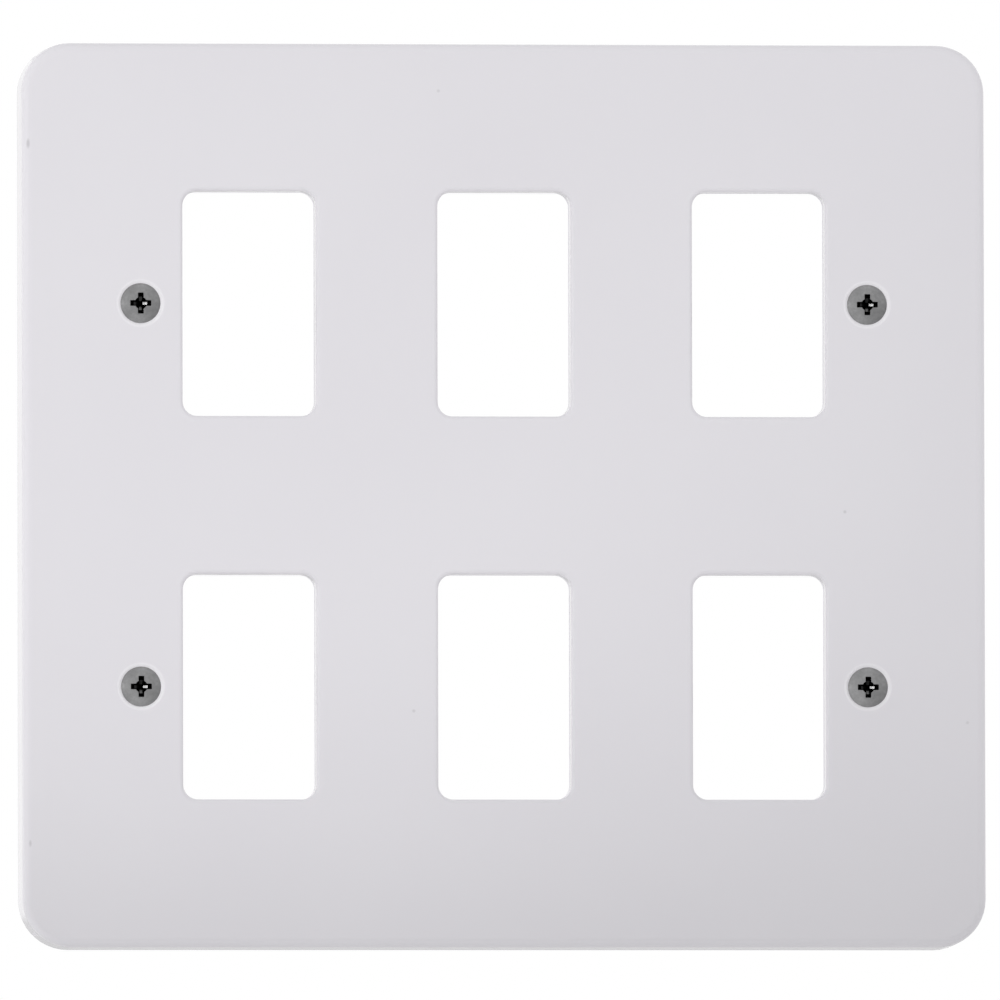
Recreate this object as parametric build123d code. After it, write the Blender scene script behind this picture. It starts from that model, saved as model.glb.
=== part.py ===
from build123d import *
import math
import os

# A grid switch plate: one moulded plate with six windows, and the four screws that fix it.
# The frame is the plate as it hangs on a wall: +X to the right and +Z up as seen from the
# room, the front looks along -Y, and the wall is the plane y = 0. The origin is the centre
# of the four fixing screws on the wall. Sizes are in millimetres and angles in degrees.

# The moulding's outside
PLATE_WIDTH = 146.0
PLATE_HEIGHT = 136.6
PLATE_DEPTH = 8.5
PLATE_CORNER_RADIUS = 7.5
PLATE_EDGE_RADIUS = 1.3
SIDE_DRAFT = 1.5

# The moulding's walls
FACE_THICKNESS = 2.6
SKIRT_THICKNESS = 2.2
INNER_CORNER_RADIUS = 5.3

# Windows, in a grid about the origin
WINDOW_COLUMNS = 3
WINDOW_ROWS = 2
WINDOW_WIDTH = 20.1
WINDOW_HEIGHT = 33.9
WINDOW_CORNER_RADIUS = 2.2
WINDOW_EDGE_RADIUS = 0.66
WINDOW_PITCH_X = 38.53
WINDOW_PITCH_Z = 57.75

# Collars round the windows behind the face, and the ribs between them
COLLAR_THICKNESS = 1.4
COLLAR_DEPTH = 4.2
RIB_THICKNESS = 1.2

# Fixing holes, each through a round boss that stops short of the wall
FIXING_SPACING_X = 109.9
FIXING_SPACING_Z = WINDOW_PITCH_Z
BOSS_RADIUS = 5.4
BOSS_WALL_GAP = 0.5
HOLE_RADIUS = 2.1
HOLE_BEVEL_WIDTH = 0.25
HOLE_BEVEL_DEPTH = 0.12

# Screws with raised countersunk heads, cross recesses, and a plain neck before the thread.
# The threaded length is a bar at the thread's outer radius, and the crown is a low cone
# with a flat middle.
SCREW_LENGTH = 25.0
THREAD_RADIUS = 1.75
NECK_RADIUS = 1.55
HEAD_RADIUS = 3.02
HEAD_SINK = 0.28
HEAD_RISE = 0.9
HEAD_CONE_ANGLE = 45.0
CROWN_RADIUS = 1.0
RECESS_SPAN = 3.2
RECESS_ARM_WIDTH = 0.86
RECESS_DEPTH = 1.9

# Heights above the wall, measured towards the front
FACE_BACK = PLATE_DEPTH - FACE_THICKNESS
COLLAR_END = PLATE_DEPTH - COLLAR_DEPTH
THREAD_START = 0.3

# How far a cutting tool runs past the surface that it opens, and how far a rib or collar
# runs into the face that carries it
OVERRUN = 1.0

COLUMN_X = [(i - (WINDOW_COLUMNS - 1) / 2) * WINDOW_PITCH_X for i in range(WINDOW_COLUMNS)]
ROW_Z = [(i - (WINDOW_ROWS - 1) / 2) * WINDOW_PITCH_Z for i in range(WINDOW_ROWS)]
SCREW_PLACES = {
    side_z + "_" + side_x: (sign_x * FIXING_SPACING_X / 2, sign_z * FIXING_SPACING_Z / 2)
    for side_z, sign_z in (("upper", 1), ("lower", -1))
    for side_x, sign_x in (("left", -1), ("right", 1))
}


def wall_plane(height):
    """A sketch plane parallel to the wall, height in front of it, looking at the room."""
    return Plane.XZ.offset(height)


def prism(width, length, corner, start, end, draft=0.0):
    """A rounded rectangle run from one height above the wall to another."""
    outline = RectangleRounded(width, length, corner)
    return extrude(wall_plane(start) * outline, amount=end - start, taper=draft)


def bar(width, length, start, end):
    """A square-cornered block between two heights above the wall."""
    return extrude(wall_plane(start) * Rectangle(width, length), amount=end - start)


def round_bar(radius, start, end):
    """A round bar between two heights above the wall."""
    return extrude(wall_plane(start) * Circle(radius), amount=end - start)


def at(x, z):
    """A place on the plate."""
    return Pos(x, 0, z)


def shell():
    """The open-backed tray: face and skirt, with drafted sides and a rounded front edge."""
    outside = prism(PLATE_WIDTH, PLATE_HEIGHT, PLATE_CORNER_RADIUS, 0, PLATE_DEPTH, SIDE_DRAFT)
    front = outside.faces().sort_by(Axis.Y)[0]
    outside = fillet(front.edges(), PLATE_EDGE_RADIUS)
    inside = prism(
        PLATE_WIDTH - 2 * SKIRT_THICKNESS,
        PLATE_HEIGHT - 2 * SKIRT_THICKNESS,
        INNER_CORNER_RADIUS,
        0,
        FACE_BACK,
    )
    return outside - inside


def window_collar():
    """The block of one window's collar, before the window is cut through it."""
    grow = 2 * COLLAR_THICKNESS
    return bar(WINDOW_WIDTH + grow, WINDOW_HEIGHT + grow, COLLAR_END, FACE_BACK + OVERRUN)


def ribs():
    """Ribs behind the face: between the columns, between the rows, and out from the bosses."""
    inner_width = PLATE_WIDTH - 2 * SKIRT_THICKNESS
    inner_height = PLATE_HEIGHT - 2 * SKIRT_THICKNESS
    top = FACE_BACK + OVERRUN
    made = [bar(inner_width, RIB_THICKNESS, COLLAR_END, top)]
    for left, right in zip(COLUMN_X, COLUMN_X[1:]):
        made.append(at((left + right) / 2, 0) * bar(RIB_THICKNESS, inner_height, COLLAR_END, top))
    reach = (inner_width - FIXING_SPACING_X) / 2
    for x, z in SCREW_PLACES.values():
        middle = math.copysign(abs(x) + reach / 2, x)
        made.append(at(middle, z) * bar(reach, RIB_THICKNESS, COLLAR_END, top))
    return made


def countersink():
    """The hole's cone, which the screw's head seats on, with a shallow bevel at its mouth."""
    slope = math.tan(math.radians(HEAD_CONE_ANGLE))
    foot_depth = HEAD_SINK + (HEAD_RADIUS - HOLE_RADIUS) / slope
    bevel_foot = HEAD_RADIUS + (HEAD_SINK - HOLE_BEVEL_DEPTH) * slope
    mouth = bevel_foot + HOLE_BEVEL_WIDTH
    profile = Polyline(
        (0, -PLATE_DEPTH - OVERRUN),
        (mouth, -PLATE_DEPTH - OVERRUN),
        (mouth, -PLATE_DEPTH),
        (bevel_foot, -PLATE_DEPTH + HOLE_BEVEL_DEPTH),
        (HOLE_RADIUS, -PLATE_DEPTH + foot_depth),
        (0, -PLATE_DEPTH + foot_depth),
        close=True,
    )
    return revolve(make_face(profile), Axis.Y)


def faceplate():
    """The whole moulding."""
    body = shell()
    for x in COLUMN_X:
        for z in ROW_Z:
            body += at(x, z) * window_collar()
    for rib in ribs():
        body += rib
    for x, z in SCREW_PLACES.values():
        body += at(x, z) * round_bar(BOSS_RADIUS, BOSS_WALL_GAP, FACE_BACK + OVERRUN)
    for x in COLUMN_X:
        for z in ROW_Z:
            window = prism(
                WINDOW_WIDTH,
                WINDOW_HEIGHT,
                WINDOW_CORNER_RADIUS,
                -OVERRUN,
                PLATE_DEPTH + OVERRUN,
            )
            body -= at(x, z) * window
    for x, z in SCREW_PLACES.values():
        body -= at(x, z) * round_bar(HOLE_RADIUS, -OVERRUN, PLATE_DEPTH + OVERRUN)
        body -= at(x, z) * countersink()
    front = body.faces().sort_by(Axis.Y)[0]
    window_edges = []
    for wire in front.inner_wires():
        if len(wire.edges()) > 1:
            window_edges += wire.edges()
    return fillet(window_edges, WINDOW_EDGE_RADIUS)


def recess():
    """The cross recess, down from the crown of the head."""
    top = PLATE_DEPTH - HEAD_SINK + HEAD_RISE
    floor = top - RECESS_DEPTH
    across = bar(RECESS_SPAN, RECESS_ARM_WIDTH, floor, top)
    upright = bar(RECESS_ARM_WIDTH, RECESS_SPAN, floor, top)
    return across + upright


def fixing_screw():
    """One screw on the Y axis, its head seated in a hole's cone and its point behind the wall."""
    rim = -PLATE_DEPTH + HEAD_SINK
    slope = math.tan(math.radians(HEAD_CONE_ANGLE))
    neck = rim + (HEAD_RADIUS - NECK_RADIUS) / slope
    tip = -PLATE_DEPTH + SCREW_LENGTH
    profile = Polyline(
        (0, rim - HEAD_RISE),
        (CROWN_RADIUS, rim - HEAD_RISE),
        (HEAD_RADIUS, rim),
        (NECK_RADIUS, neck),
        (NECK_RADIUS, -THREAD_START),
        (THREAD_RADIUS, -THREAD_START),
        (THREAD_RADIUS, tip),
        (0, tip),
        close=True,
    )
    return revolve(make_face(profile), Axis.Y) - recess()


def main():
    os.makedirs("parts", exist_ok=True)
    plate = faceplate()
    export_step(plate, "parts/faceplate.step")
    screw = fixing_screw()
    for name, (x, z) in SCREW_PLACES.items():
        export_step(at(x, z) * screw, "parts/fixing_screw_" + name + ".step")


main()
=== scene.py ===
import math

import bmesh
import bpy
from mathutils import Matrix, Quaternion, Vector


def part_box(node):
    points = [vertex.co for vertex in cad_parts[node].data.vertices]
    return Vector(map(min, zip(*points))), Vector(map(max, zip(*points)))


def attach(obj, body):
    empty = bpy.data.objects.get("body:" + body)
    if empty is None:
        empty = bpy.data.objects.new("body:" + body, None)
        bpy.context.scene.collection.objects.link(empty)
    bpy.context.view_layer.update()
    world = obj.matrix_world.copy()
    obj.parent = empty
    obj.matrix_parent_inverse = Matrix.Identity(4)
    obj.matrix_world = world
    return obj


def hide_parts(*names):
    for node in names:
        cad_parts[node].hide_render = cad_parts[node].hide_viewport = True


# A grid switch plate as it hangs on a wall: one glossy white moulding, kept as the frame's
# own mesh, and four dull metal screws, built here in full detail. +X is to the right and +Z
# up as seen from the room, and the front looks along -Y. Lengths are in metres.

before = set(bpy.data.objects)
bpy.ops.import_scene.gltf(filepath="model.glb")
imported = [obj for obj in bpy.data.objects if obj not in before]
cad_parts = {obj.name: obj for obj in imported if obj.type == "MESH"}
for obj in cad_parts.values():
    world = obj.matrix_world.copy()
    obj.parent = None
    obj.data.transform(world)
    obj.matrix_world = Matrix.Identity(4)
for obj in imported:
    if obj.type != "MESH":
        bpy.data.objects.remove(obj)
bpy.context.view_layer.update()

MM = 0.001
PLATE = "faceplate"
SCREWS = sorted(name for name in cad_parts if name.startswith("fixing_screw"))
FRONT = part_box(PLATE)[0].y

# Camera, a long lens a little to the left of the plate and a little below it
CAMERA_DISTANCE = 4.2
CAMERA_TURN = math.radians(5.0)
CAMERA_DROP = math.radians(2.5)
CAMERA_ROLL = math.radians(0.12)
VIEW_WIDTH = 150.65 * MM
AIM = Vector((-0.71 * MM, FRONT, -0.7 * MM))
SENSOR_WIDTH = 36.0
CLIP_START = 0.1
CLIP_END = 50.0

# Floor, under the plate and under the camera. FLOOR_WHITE is the share of plain white that
# cameras and reflections see in it.
FLOOR_HEIGHT = -0.30
FLOOR_SIZE = 9.0
FLOOR_WHITE = 0.2
FLOOR_TONES = ((0.84, 0.84, 0.84), (0.87, 0.87, 0.87))
FLOOR_ROUGHNESS = 0.7

# The world: the white that cameras and reflections see, and its light on everything else
WHITE = (1.0, 1.0, 1.0, 1.0)
SEEN_STRENGTH = 1.0
AMBIENT_STRENGTH = 0.577

# Softboxes: name, place, width and height, and power in watts. They face the plate.
PLATE_CENTRE = Vector((0.0, FRONT, 0.0))
SOFTBOXES = [
    ("left_rear", Vector((-0.7, 0.18, 0.05)), (0.5, 0.5), 0.9),
    ("near_left", Vector((-0.45, -0.38, 0.05)), (0.3, 0.3), 0.54),
    ("right_side", Vector((0.8, -0.1, 0.05)), (0.6, 0.8), 0.83),
    ("above", Vector((0.0, 0.1, 0.8)), (0.5, 0.5), 0.5),
    ("behind", Vector((0.0, 0.6, 0.1)), (0.8, 0.8), 0.9),
]
# Softboxes that light the screws alone, and show in their recesses
SPARKS = [
    ("left_spark", Vector((-1.31, -0.925, 0.07)), (0.12, 0.12), 2.9),
    ("top_glow", Vector((0.14, -0.735, 1.41)), (0.3, 0.3), 1.4),
    ("low_glow", Vector((-0.08, -0.26, -0.24)), (0.3, 0.2), 0.25),
]
# Broad beams from one place in front, whose soft lower edges fall on the foot of the plate:
# name, centre, radius on the plate, blend, softness and power in watts
BEAM_PLACE = Vector((-0.05, -1.2, 0.15))
BEAMS = [
    ("beam_high", Vector((0.0, FRONT, 0.30)), 0.3713, 0.15, 0.03, 5.12),
    ("beam_left", Vector((-0.10, FRONT, 0.12)), 0.215, 0.35, 0.03, 3.73),
    ("beam_low", Vector((0.0, FRONT, 0.20)), 0.273, 0.08, 0.015, 2.79),
]

# How fine each noise is, in cells to the metre, and the range that most of its values are in
TONE_SCALE = 28.0
HAZE_SCALE = 90.0
RIPPLE_SCALE = 260.0
GRAIN_SCALE = 2600.0
EROSION_SCALE = 6500.0
MOTTLE_SCALE = 1500.0
SHEEN_SCALE = 3200.0
TOOL_MARK_SCALE = 5200.0
FLOOR_SCALE = 6.0
NOISE_RANGE = (0.3, 0.7)
HAZE_RANGE = (0.3, 0.75)

# The moulding: its tones, its roughness outside and what the inside adds to it, and the
# depths of its ripple and grain, and of the eroded surface and the pin marks inside
PLATE_TONES = ((0.795, 0.778, 0.818), (0.808, 0.792, 0.830))
PLATE_ROUGHNESS = (0.10, 0.16)
SATIN_ROUGHNESS = 0.33
PLATE_IOR = 1.52
RIPPLE_DEPTH = 0.0035 * MM
GRAIN_DEPTH = 0.0006 * MM
EROSION_DEPTH = 0.012 * MM
PIN_DEPTH = 0.06 * MM

# The metals: name, dark and light tone, roughness, and depth of the tool marks
PLATED_STEEL = (
    "plated_steel",
    (0.235, 0.235, 0.238),
    (0.295, 0.295, 0.298),
    (0.50, 0.60),
    0.004 * MM,
)
# The recess's steel is far darker than the head's: painted shade in the recess
RECESS_SHADED_STEEL = (
    "recess_shaded_steel",
    (0.013, 0.013, 0.013),
    (0.025, 0.025, 0.025),
    (0.09, 0.13),
    0.0006 * MM,
)

# A painted highlight round the mouth of each fixing hole, which lightens the shade on its bevel,
# folded into one quarter of the plate
HOLE_PLACE = (54.95 * MM, 28.875 * MM)
HOLE_HIGHLIGHT_START = 3.3 * MM
HOLE_HIGHLIGHT_END = 3.7 * MM
HOLE_HIGHLIGHT_COLOUR = (0.93, 0.915, 0.95)

# The inside of the tray, which is satin, and the mould's pin marks there, folded into one
# quarter of the plate
INSIDE_LOW = (-70.9 * MM, -5.95 * MM, -66.2 * MM)
INSIDE_HIGH = (70.9 * MM, 1.0 * MM, 66.2 * MM)
SOFT_EDGE = 0.1 * MM
PIN_RADIUS = 2.0 * MM
PIN_PLACES = (
    (19.3 * MM, 54.5 * MM),
    (19.3 * MM, 6.0 * MM),
    (58.0 * MM, 54.5 * MM),
    (58.0 * MM, 6.0 * MM),
)

# Specks in the moulding's face: across, up, width, height and strength. Each fades out
# over a range of its own reach.
SPECKS = (
    (51.5 * MM, -2.4 * MM, 0.5 * MM, 0.5 * MM, 0.25),
    (-13.8 * MM, -32.5 * MM, 0.5 * MM, 0.5 * MM, 0.22),
    (70.0 * MM, -34.2 * MM, 0.5 * MM, 0.5 * MM, 0.18),
    (-9.9 * MM, 61.0 * MM, 0.5 * MM, 0.5 * MM, 0.18),
    (-71.9 * MM, 52.9 * MM, 0.5 * MM, 1.4 * MM, 0.35),
    (-71.7 * MM, -52.5 * MM, 0.4 * MM, 1.0 * MM, 0.25),
)
SPECK_DEPTH = 1.5 * MM
SPECK_COLOUR = (0.25, 0.24, 0.25)
SPECK_FADE = (0.5, 1.3)

# Smooth shading of the moulding
PLATE_WELD = 0.001 * MM
PLATE_SHARP_ANGLE = math.radians(32.0)
PLATE_NORMAL_WEIGHT = 100

# Screw heads, with the frame's radius and sink. EDGE_POINTS round the head's edge, in
# shares of HEAD_EDGE: how far inside the radius and how far behind the rim.
HEAD_RADIUS = 3.02 * MM
HEAD_SINK = 0.28 * MM
HEAD_RISE = 0.9 * MM
HEAD_EDGE = 0.06 * MM
EDGE_POINTS = ((0.3, -0.35), (0.0, 0.3))
NECK_RADIUS = 1.55 * MM
CROWN_RINGS = 12
NECK_RINGS = 3

# Cross recess: its mouth, its tapered walls, its sloping floor and the pit in the middle
RECESS_SPAN = 3.15 * MM
RECESS_ARM = 0.84 * MM
RECESS_CORE = 0.92 * MM
RECESS_CORNER = 0.10 * MM
RECESS_LIP = 0.06 * MM
RECESS_WALL_DEPTH = 1.15 * MM
RECESS_WALL_TAPER = math.tan(math.radians(6.0))
RECESS_END_TAPER = math.tan(math.radians(26.5))
RECESS_FLOOR_SLOPE = math.tan(math.radians(30.0))
RECESS_PIT_SPAN = 0.72 * MM
RECESS_PIT_ARM = 0.40 * MM
RECESS_PIT_CORE = 0.30 * MM
RECESS_PIT_CORNER = 0.03 * MM
RECESS_PIT_SLOPE = math.tan(math.radians(50.0))
# Its points and rings: points of an arc, parts of an arm's side, parts of the wall's depth
# and angles of the lip. The first RECESS_RINGS rings are the recess's own.
ARC_COUNT = 5
ARM_PARTS = (0.25, 0.5, 0.75)
WALL_LEVELS = (1.0, 0.66, 0.33, 0.0)
LIP_ANGLES = (22.5, 45.0, 67.5)
RECESS_RINGS = 2 + len(WALL_LEVELS)

# Thread, with its profile over one pitch: 1 at the crest and 0 at the root
THREAD_START = -0.3 * MM
THREAD_PITCH = 0.6 * MM
THREAD_MAJOR = 1.75 * MM
THREAD_MINOR = 1.39 * MM
THREAD_PROFILE = (1.0, 1.0, 0.72, 0.3, 0.0, 0.0, 0.3, 0.72)
THREAD_STEPS = len(THREAD_PROFILE)
THREAD_RUN_OUT = 0.4
TIP_RADIUS = 1.3 * MM

# Clean-up of a screw's mesh
MERGE_DISTANCE = 0.002 * MM
THIN_DISTANCE = 0.0005 * MM
SCREW_SHARP_ANGLE = math.radians(25.0)


class Graph:
    """A material's or the world's nodes, with short ways to add and join them."""

    def __init__(self, owner):
        owner.use_nodes = True
        self.tree = owner.node_tree
        self.tree.nodes.clear()

    def node(self, kind, **settings):
        made = self.tree.nodes.new(kind)
        for name, value in settings.items():
            setattr(made, name, value)
        return made

    def join(self, source, target):
        self.tree.links.new(source, target)

    def maths(self, operation, first, second=0.0):
        """One arithmetic node. Each input is a number or another node's output."""
        made = self.node("ShaderNodeMath", operation=operation)
        for socket, value in zip(made.inputs, (first, second)):
            if isinstance(value, (int, float)):
                socket.default_value = value
            else:
                self.join(value, socket)
        return made.outputs[0]

    def noise(self, where, scale, detail=2.0, roughness=0.5):
        """Noise between 0 and 1, its scale in cells to the metre."""
        made = self.node("ShaderNodeTexNoise")
        self.join(where, made.inputs["Vector"])
        made.inputs["Scale"].default_value = scale
        made.inputs["Detail"].default_value = detail
        made.inputs["Roughness"].default_value = roughness
        return made.outputs["Fac"]

    def spread(self, value, low, high, to_low, to_high):
        """Maps low..high to to_low..to_high, held at both ends."""
        made = self.node("ShaderNodeMapRange")
        self.join(value, made.inputs["Value"])
        for name, number in (
            ("From Min", low), ("From Max", high), ("To Min", to_low), ("To Max", to_high),
        ):
            made.inputs[name].default_value = number
        return made.outputs["Result"]

    def blend(self, factor, first, second):
        """A mix of two colours by a factor."""
        made = self.node("ShaderNodeMix", data_type="RGBA")
        self.join(factor, made.inputs["Factor"])
        made.inputs[6].default_value = (*first, 1.0)
        made.inputs[7].default_value = (*second, 1.0)
        return made.outputs[2]

    def tint(self, colour, factor, towards):
        """A colour moved towards another by a factor."""
        made = self.node("ShaderNodeMix", data_type="RGBA")
        self.join(factor, made.inputs["Factor"])
        self.join(colour, made.inputs[6])
        made.inputs[7].default_value = (*towards, 1.0)
        return made.outputs[2]

    def vector(self, operation, first, second):
        """One vector node, of an output and a fixed vector."""
        made = self.node("ShaderNodeVectorMath", operation=operation)
        self.join(first, made.inputs[0])
        made.inputs[1].default_value = second
        return made

    def mark(self, where, centre, reach):
        """1 inside a small ellipsoid, with a soft edge, and 0 outside it."""
        offset = self.vector("SUBTRACT", where, centre).outputs["Vector"]
        scaled = self.vector("DIVIDE", offset, reach).outputs["Vector"]
        length = self.vector("LENGTH", scaled, (0, 0, 0)).outputs["Value"]
        return self.spread(length, *SPECK_FADE, 1.0, 0.0)

    def within(self, where, low, high):
        """1 inside a box, with soft edges, and 0 outside it."""
        parts = self.node("ShaderNodeSeparateXYZ")
        self.join(where, parts.inputs["Vector"])
        factor = 1.0
        for output, least, most in zip(parts.outputs, low, high):
            middle = (least + most) / 2
            away = self.maths("ABSOLUTE", self.maths("SUBTRACT", output, middle))
            half = (most - least) / 2
            part = self.spread(away, half, half + SOFT_EDGE, 1.0, 0.0)
            factor = self.maths("MULTIPLY", part, factor)
        return factor

    def quarter_distance(self, where, x, z):
        """Distance along the face to a place that each quarter of the plate has."""
        folded = self.node("ShaderNodeVectorMath", operation="ABSOLUTE")
        self.join(where, folded.inputs[0])
        flat = self.vector("MULTIPLY", folded.outputs["Vector"], (1, 0, 1)).outputs["Vector"]
        return self.vector("DISTANCE", flat, (x, 0, z)).outputs["Value"]

    def pin_marks(self, where, inside):
        """A height that is 1, and 0 in the mould's pin marks, alike in all four quarters."""
        height = 1.0
        for x, z in PIN_PLACES:
            distance = self.quarter_distance(where, x, z)
            pit = self.spread(distance, PIN_RADIUS - SOFT_EDGE, PIN_RADIUS, 1.0, 0.0)
            height = self.maths("SUBTRACT", height, self.maths("MULTIPLY", pit, inside))
        return height

    def seen(self):
        """1 for rays that the camera, a reflection or a clear body sees by, and 0 for the rest."""
        path = self.node("ShaderNodeLightPath")
        factor = self.maths("MAXIMUM", path.outputs["Is Camera Ray"], path.outputs["Is Glossy Ray"])
        return self.maths("MAXIMUM", factor, path.outputs["Is Transmission Ray"])

    def bump(self, height, distance, under=None):
        """A bump from a height between 0 and 1, distance metres deep."""
        made = self.node("ShaderNodeBump")
        made.inputs["Distance"].default_value = distance
        self.join(height, made.inputs["Height"])
        if under is not None:
            self.join(under, made.inputs["Normal"])
        return made.outputs["Normal"]


def start_material(name):
    """A new material with its graph, surface socket, shader and object coordinates."""
    material = bpy.data.materials.new(name)
    graph = Graph(material)
    surface = graph.node("ShaderNodeOutputMaterial").inputs["Surface"]
    shader = graph.node("ShaderNodeBsdfPrincipled")
    where = graph.node("ShaderNodeTexCoord").outputs["Object"]
    return material, graph, surface, shader, where


def moulding_material():
    """Glossy white thermoset: a polished skin outside, a satin one with pin marks inside."""
    material, graph, surface, shader, where = start_material("moulding")
    graph.join(shader.outputs["BSDF"], surface)
    inside = graph.within(where, INSIDE_LOW, INSIDE_HIGH)

    tone = graph.spread(graph.noise(where, TONE_SCALE, 3.0), *NOISE_RANGE, 0.0, 1.0)
    colour = graph.blend(tone, *PLATE_TONES)
    for x, z, width, height, strength in SPECKS:
        mark = graph.mark(where, (x, FRONT, z), (width / 2, SPECK_DEPTH, height / 2))
        colour = graph.tint(colour, graph.maths("MULTIPLY", mark, strength), SPECK_COLOUR)
    # Painted highlight: the face is tinted towards white in a ring round each fixing hole
    distance = graph.quarter_distance(where, *HOLE_PLACE)
    rim = graph.spread(distance, HOLE_HIGHLIGHT_START, HOLE_HIGHLIGHT_END, 1.0, 0.0)
    graph.join(graph.tint(colour, rim, HOLE_HIGHLIGHT_COLOUR), shader.inputs["Base Color"])

    haze = graph.noise(where, HAZE_SCALE, 4.0, 0.6)
    polished = graph.spread(haze, *HAZE_RANGE, *PLATE_ROUGHNESS)
    satin = graph.maths("MULTIPLY", inside, SATIN_ROUGHNESS)
    graph.join(graph.maths("ADD", polished, satin), shader.inputs["Roughness"])

    ripple = graph.bump(graph.noise(where, RIPPLE_SCALE), RIPPLE_DEPTH)
    grain = graph.bump(graph.noise(where, GRAIN_SCALE), GRAIN_DEPTH, under=ripple)
    erosion = graph.maths("MULTIPLY", graph.noise(where, EROSION_SCALE), inside)
    eroded = graph.bump(erosion, EROSION_DEPTH, under=grain)
    pins = graph.pin_marks(where, inside)
    graph.join(graph.bump(pins, PIN_DEPTH, under=eroded), shader.inputs["Normal"])
    shader.inputs["IOR"].default_value = PLATE_IOR
    return material


def metal_material(name, dark, light, roughness, marks_depth):
    """Dull plated steel with a fine mottle, faint tool marks and uneven sheen."""
    material, graph, surface, shader, where = start_material(name)
    graph.join(shader.outputs["BSDF"], surface)

    mottle = graph.noise(where, MOTTLE_SCALE, 4.0, 0.6)
    colour = graph.blend(graph.spread(mottle, *NOISE_RANGE, 0.0, 1.0), dark, light)
    graph.join(colour, shader.inputs["Base Color"])
    sheen = graph.noise(where, SHEEN_SCALE, 3.0)
    graph.join(graph.spread(sheen, *NOISE_RANGE, *roughness), shader.inputs["Roughness"])
    marks = graph.bump(graph.noise(where, TOOL_MARK_SCALE, 3.0), marks_depth)
    graph.join(marks, shader.inputs["Normal"])
    shader.inputs["Metallic"].default_value = 1.0
    return material


def floor_material():
    """Pale matt floor with a faint mottle, paler to the camera and in reflections."""
    material, graph, surface, shader, where = start_material("floor")
    mottle = graph.spread(graph.noise(where, FLOOR_SCALE, 3.0), *NOISE_RANGE, 0.0, 1.0)
    graph.join(graph.blend(mottle, *FLOOR_TONES), shader.inputs["Base Color"])
    shader.inputs["Roughness"].default_value = FLOOR_ROUGHNESS
    white = graph.node("ShaderNodeEmission")
    mix = graph.node("ShaderNodeMixShader")
    graph.join(graph.maths("MULTIPLY", graph.seen(), FLOOR_WHITE), mix.inputs["Fac"])
    graph.join(shader.outputs["BSDF"], mix.inputs[1])
    graph.join(white.outputs["Emission"], mix.inputs[2])
    graph.join(mix.outputs["Shader"], surface)
    return material


def arc_points(x, y, radius, start, end):
    """Points along an arc, its ends included, with angles in degrees."""
    steps = range(ARC_COUNT)
    angles = [math.radians(start + (end - start) * i / (ARC_COUNT - 1)) for i in steps]
    return [(x + radius * math.cos(a), y + radius * math.sin(a)) for a in angles]


def recess_octant(half_span, half_arm, core, corner):
    """An eighth of the recess's outline, from the middle of an arm's end to the diagonal."""
    points = [(half_span, 0.0), (half_span, (half_arm - corner) / 2)]
    points += arc_points(half_span - corner, half_arm - corner, corner, 0, 90)
    web = math.degrees(math.asin(half_arm / core))
    meet = core * math.cos(math.radians(web))
    for part in ARM_PARTS:
        points.append((half_span - corner + (meet - half_span + corner) * part, half_arm))
    points += arc_points(0.0, 0.0, core, web, 45)
    return points


def recess_outline(half_span, half_arm, core, corner):
    """The whole outline of the recess, a cross with a round core, anticlockwise."""
    octant = recess_octant(half_span, half_arm, core, corner)
    arm = [(x, -y) for x, y in reversed(octant[1:])] + octant
    outline = []
    for cos, sin in ((1, 0), (0, 1), (-1, 0), (0, -1)):
        outline += [(x * cos - y * sin, x * sin + y * cos) for x, y in arm[:-1]]
    return outline


def grown_recess(margin):
    """The outline of the recess's mouth, grown all round by a margin."""
    return recess_outline(
        RECESS_SPAN / 2 + margin,
        RECESS_ARM / 2 + margin,
        RECESS_CORE + margin,
        RECESS_CORNER + margin,
    )


def dome_height(radius):
    """How far the head's dome stands above its rim at a radius."""
    sphere = (HEAD_RADIUS**2 + HEAD_RISE**2) / (2 * HEAD_RISE)
    return math.sqrt(sphere**2 - radius**2) - (sphere - HEAD_RISE)


def recess_wall(rim):
    """Rings from the bottom of the recess, up its floor and walls, to its rounded lip."""
    top = rim - HEAD_RISE
    foot = RECESS_SPAN / 2 - RECESS_WALL_DEPTH * RECESS_END_TAPER
    edge = top + RECESS_WALL_DEPTH + (foot - RECESS_PIT_SPAN / 2) * RECESS_FLOOR_SLOPE
    bottom = edge + RECESS_PIT_SPAN / 2 * RECESS_PIT_SLOPE
    pit = recess_outline(
        RECESS_PIT_SPAN / 2, RECESS_PIT_ARM / 2, RECESS_PIT_CORE, RECESS_PIT_CORNER
    )
    rings = [[(0.0, bottom, 0.0)] * len(pit)]
    rings.append([(x, edge, z) for x, z in pit])
    for level in WALL_LEVELS:
        depth = RECESS_WALL_DEPTH * level
        narrow = depth * RECESS_WALL_TAPER
        outline = recess_outline(
            RECESS_SPAN / 2 - depth * RECESS_END_TAPER,
            RECESS_ARM / 2 - narrow,
            RECESS_CORE - narrow,
            RECESS_CORNER,
        )
        ring = []
        for x, z in outline:
            start = rim - dome_height(math.hypot(x, z)) + RECESS_LIP
            ring.append((x, start + (top + RECESS_WALL_DEPTH - start) * level, z))
        rings.append(ring)
    for angle in LIP_ANGLES:
        sink = RECESS_LIP * (1 - math.sin(math.radians(angle)))
        outline = grown_recess(RECESS_LIP * (1 - math.cos(math.radians(angle))))
        rings.append([(x, rim - dome_height(math.hypot(x, z)) + sink, z) for x, z in outline])
    return rings


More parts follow.
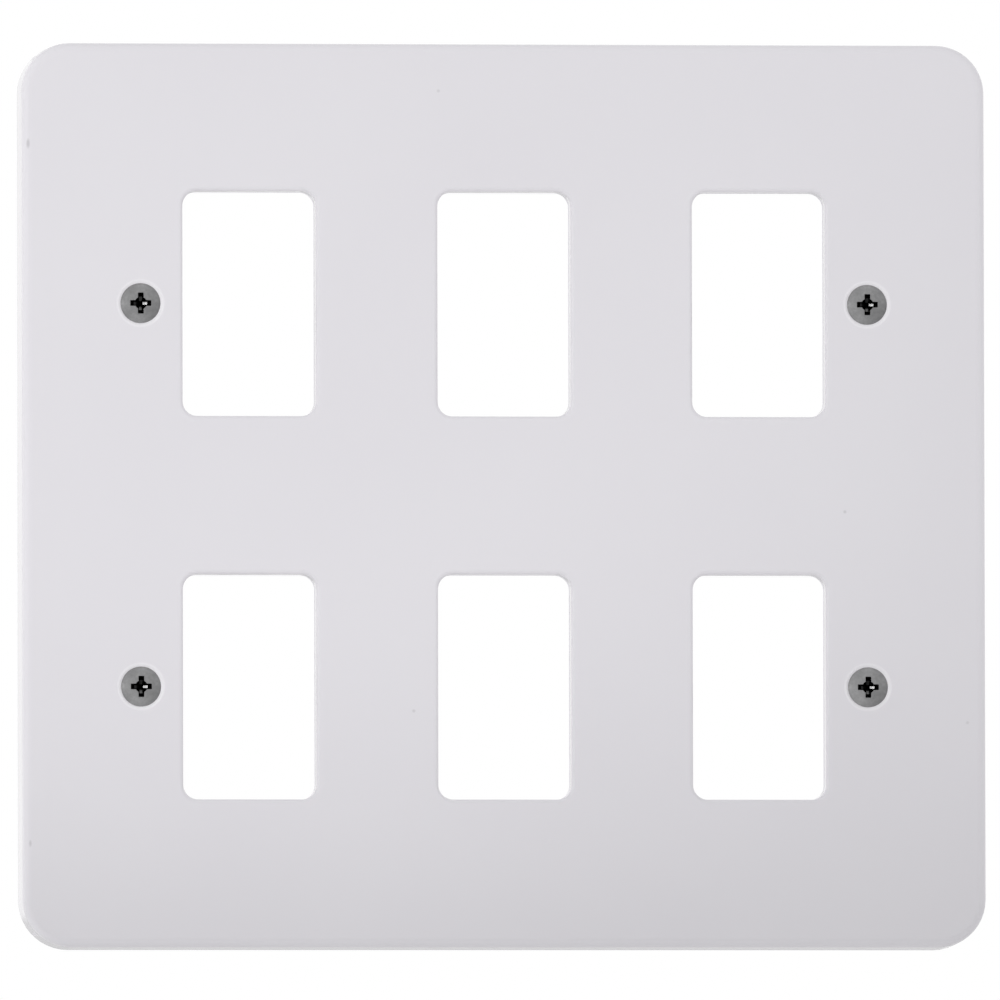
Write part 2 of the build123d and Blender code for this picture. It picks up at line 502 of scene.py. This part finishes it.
def head_rings(rim):
    """Rings of points from the recess's floor, over the crown, to the end of the neck."""
    mouth = grown_recess(RECESS_LIP)
    angles = [math.atan2(z, x) for x, z in mouth]
    reaches = [math.hypot(x, z) for x, z in mouth]
    rings = recess_wall(rim)
    for step in range(CROWN_RINGS + 1):
        part = step / CROWN_RINGS
        ring = []
        for angle, reach in zip(angles, reaches):
            radius = reach + (HEAD_RADIUS - HEAD_EDGE - reach) * part
            y = rim - dome_height(radius)
            ring.append((radius * math.cos(angle), y, radius * math.sin(angle)))
        rings.append(ring)
    cone = HEAD_RADIUS - NECK_RADIUS
    below = [(HEAD_RADIUS - HEAD_EDGE * x, rim + HEAD_EDGE * y) for x, y in EDGE_POINTS]
    below += [(HEAD_RADIUS - cone / 2, rim + cone / 2), (NECK_RADIUS, rim + cone)]
    length = THREAD_START - rim - cone
    for step in range(1, NECK_RINGS + 1):
        below.append((NECK_RADIUS, rim + cone + length * step / (NECK_RINGS + 1)))
    for radius, y in below:
        rings.append([(radius * math.cos(a), y, radius * math.sin(a)) for a in angles])
    return rings, angles


def thread_radius(phase):
    """The thread's radius at a step of its profile."""
    return THREAD_MINOR + (THREAD_MAJOR - THREAD_MINOR) * THREAD_PROFILE[phase]


def thread_point(step, angle, tip):
    """A point of the thread: its row climbs one pitch in a turn, and both ends run out."""
    turn = (angle % (2 * math.pi)) / (2 * math.pi)
    y = THREAD_START - THREAD_PITCH + THREAD_PITCH * (step / THREAD_STEPS + turn)
    y = min(max(y, THREAD_START), tip)
    grown = (y - THREAD_START) * THREAD_RUN_OUT
    low = max(THREAD_MINOR, NECK_RADIUS - grown)
    high = min(THREAD_MAJOR, NECK_RADIUS + grown, TIP_RADIUS + tip - y)
    radius = min(max(thread_radius(step % THREAD_STEPS), low), high)
    return (radius * math.cos(angle), y, radius * math.sin(angle))


def screw_mesh(name, rim, tip):
    """The whole screw about the Y axis, as one closed skin."""
    rings, angles = head_rings(rim)
    around = len(angles)
    order = sorted(range(around), key=lambda i: angles[i] % (2 * math.pi))
    rings = [[ring[i] for i in order] for ring in rings]
    angles = [angles[i] % (2 * math.pi) for i in order]
    vertices = [point for ring in rings for point in ring]
    faces = []
    inside = RECESS_RINGS * around

    def quad(a, b, c, d):
        corners = []
        for vertex in (a, b, c, d):
            if not corners or vertices[vertex] != vertices[corners[-1]]:
                corners.append(vertex)
        if len(corners) > 2:
            faces.append(corners)

    for start in range(0, (len(rings) - 1) * around, around):
        for i in range(around):
            j = (i + 1) % around
            quad(start + i, start + j, start + around + j, start + around + i)

    base = len(vertices)
    rows = math.ceil((tip - THREAD_START) / THREAD_PITCH + 1) * THREAD_STEPS
    for step in range(rows + 1):
        vertices += [thread_point(step, angle, tip) for angle in angles]
    end = len(vertices)
    vertices.append((0.0, tip, 0.0))

    def row_point(step, i):
        if i == around:
            step = min(step + THREAD_STEPS, rows)
            i = 0
        return base + step * around + i

    last = (len(rings) - 1) * around
    for i in range(around):
        quad(last + i, last + (i + 1) % around, row_point(0, i + 1), row_point(0, i))
    for step in range(rows):
        for i in range(around):
            lower = row_point(step, i), row_point(step, i + 1)
            upper = row_point(step + 1, i + 1), row_point(step + 1, i)
            quad(*lower, *upper)
    for i in range(around):
        faces.append([row_point(rows, i), row_point(rows, i + 1), end])
    mesh = bpy.data.meshes.new(name)
    mesh.from_pydata(vertices, [], faces)
    for polygon in mesh.polygons:
        # The recess's faces take the second material, whose dark colour is painted shade
        polygon.material_index = int(max(polygon.vertices) < inside)
    return mesh


def clean_mesh(mesh):
    """Merges coincident points, drops faces of no area and turns every face outwards."""
    shape = bmesh.new()
    shape.from_mesh(mesh)
    bmesh.ops.remove_doubles(shape, verts=shape.verts, dist=MERGE_DISTANCE)
    bmesh.ops.dissolve_degenerate(shape, edges=shape.edges, dist=THIN_DISTANCE)
    bmesh.ops.recalc_face_normals(shape, faces=shape.faces)
    for face in shape.faces:
        face.smooth = face.material_index == 0
    for edge in shape.edges:
        if len(edge.link_faces) == 2 and edge.calc_face_angle(0.0) > SCREW_SHARP_ANGLE:
            edge.smooth = False
    shape.to_mesh(mesh)
    shape.free()


def add_object(name, data):
    """A new object in the scene."""
    made = bpy.data.objects.new(name, data)
    bpy.context.scene.collection.objects.link(made)
    return made


def add_screws(head_metal, recess_shaded_metal):
    """Each screw of the frame is replaced by a detailed one in its place."""
    screws = []
    for node in SCREWS:
        low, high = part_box(node)
        rim = FRONT + HEAD_SINK
        mesh = screw_mesh(node + "_detailed", rim, high.y)
        clean_mesh(mesh)
        mesh.materials.append(head_metal)
        mesh.materials.append(recess_shaded_metal)
        screw = add_object(node + "_detailed", mesh)
        screw.location = ((low.x + high.x) / 2, 0.0, (low.z + high.z) / 2)
        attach(screw, "root")
        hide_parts(node)
        screws.append(screw)
    return screws


def dress_plate(material):
    """Gives the frame's moulding its finish, and smooth shading over its rounded edges."""
    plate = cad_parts[PLATE]
    plate.data.materials.clear()
    plate.data.materials.append(material)
    weld = plate.modifiers.new("join_faces", "WELD")
    weld.merge_threshold = PLATE_WELD
    split = plate.modifiers.new("keep_sharp_edges", "EDGE_SPLIT")
    split.split_angle = PLATE_SHARP_ANGLE
    split.use_edge_sharp = False
    smooth = plate.modifiers.new("even_shading", "WEIGHTED_NORMAL")
    smooth.keep_sharp = True
    smooth.weight = PLATE_NORMAL_WEIGHT


def add_world():
    """White to the camera and in reflections, and a soft even light on everything else."""
    world = bpy.data.worlds.new("studio")
    bpy.context.scene.world = world
    graph = Graph(world)
    output = graph.node("ShaderNodeOutputWorld")
    mix = graph.node("ShaderNodeMixShader")
    graph.join(graph.seen(), mix.inputs["Fac"])
    for socket, strength in ((1, AMBIENT_STRENGTH), (2, SEEN_STRENGTH)):
        background = graph.node("ShaderNodeBackground")
        background.inputs["Color"].default_value = WHITE
        background.inputs["Strength"].default_value = strength
        graph.join(background.outputs["Background"], mix.inputs[socket])
    graph.join(mix.outputs["Shader"], output.inputs["Surface"])


def add_lamp(name, kind, place, target, power, in_reflections):
    """One lamp aimed at a target. The camera itself never sees it."""
    light = bpy.data.lights.new(name, kind)
    light.energy = power
    lamp = add_object(name, light)
    lamp.location = place
    lamp.rotation_euler = (target - place).to_track_quat("-Z", "Y").to_euler()
    lamp.visible_camera = False
    lamp.visible_glossy = in_reflections
    return lamp


def add_softbox(name, place, size, power, in_reflections):
    """A rectangular lamp that faces the plate."""
    lamp = add_lamp(name, "AREA", place, PLATE_CENTRE, power, in_reflections)
    lamp.data.shape = "RECTANGLE"
    lamp.data.size, lamp.data.size_y = size
    return lamp


def add_lamps(screws):
    """Soft light from all sides and from behind, strongest from the front."""
    for name, place, size, power in SOFTBOXES:
        add_softbox(name, place, size, power, False)
    lit = bpy.data.collections.new("lit_by_sparks")
    for screw in screws:
        lit.objects.link(screw)
    for name, place, size, power in SPARKS:
        spark = add_softbox(name, place, size, power, True)
        spark.light_linking.receiver_collection = lit
    for name, centre, radius, blend, softness, power in BEAMS:
        beam = add_lamp(name, "SPOT", BEAM_PLACE, centre, power, False)
        beam.data.spot_size = 2 * math.atan(radius / (centre - BEAM_PLACE).length)
        beam.data.spot_blend = blend
        beam.data.shadow_soft_size = softness


def add_floor(material):
    """A plain pale floor."""
    half = FLOOR_SIZE / 2
    corners = [(-half, -half), (half, -half), (half, half), (-half, half)]
    mesh = bpy.data.meshes.new("floor")
    mesh.from_pydata([(x, y, FLOOR_HEIGHT) for x, y in corners], [], [(0, 1, 2, 3)])
    mesh.materials.append(material)
    floor = add_object("floor", mesh)


def add_camera():
    """The camera, aimed at the plate's front from the photograph's side."""
    towards = Vector((
        -math.sin(CAMERA_TURN) * math.cos(CAMERA_DROP),
        -math.cos(CAMERA_TURN) * math.cos(CAMERA_DROP),
        -math.sin(CAMERA_DROP),
    ))
    data = bpy.data.cameras.new("camera")
    data.sensor_fit = "HORIZONTAL"
    data.sensor_width = SENSOR_WIDTH
    data.lens = SENSOR_WIDTH * CAMERA_DISTANCE / VIEW_WIDTH
    data.clip_start = CLIP_START
    data.clip_end = CLIP_END
    camera = add_object("camera", data)
    camera.location = AIM + towards * CAMERA_DISTANCE
    upright = (-towards).to_track_quat("-Z", "Y")
    camera.rotation_euler = (upright @ Quaternion((0, 0, 1), -CAMERA_ROLL)).to_euler()
    bpy.context.scene.camera = camera


bpy.context.scene.view_settings.view_transform = "Standard"
dress_plate(moulding_material())
screws = add_screws(metal_material(*PLATED_STEEL), metal_material(*RECESS_SHADED_STEEL))
add_floor(floor_material())
add_world()
add_lamps(screws)
add_camera()
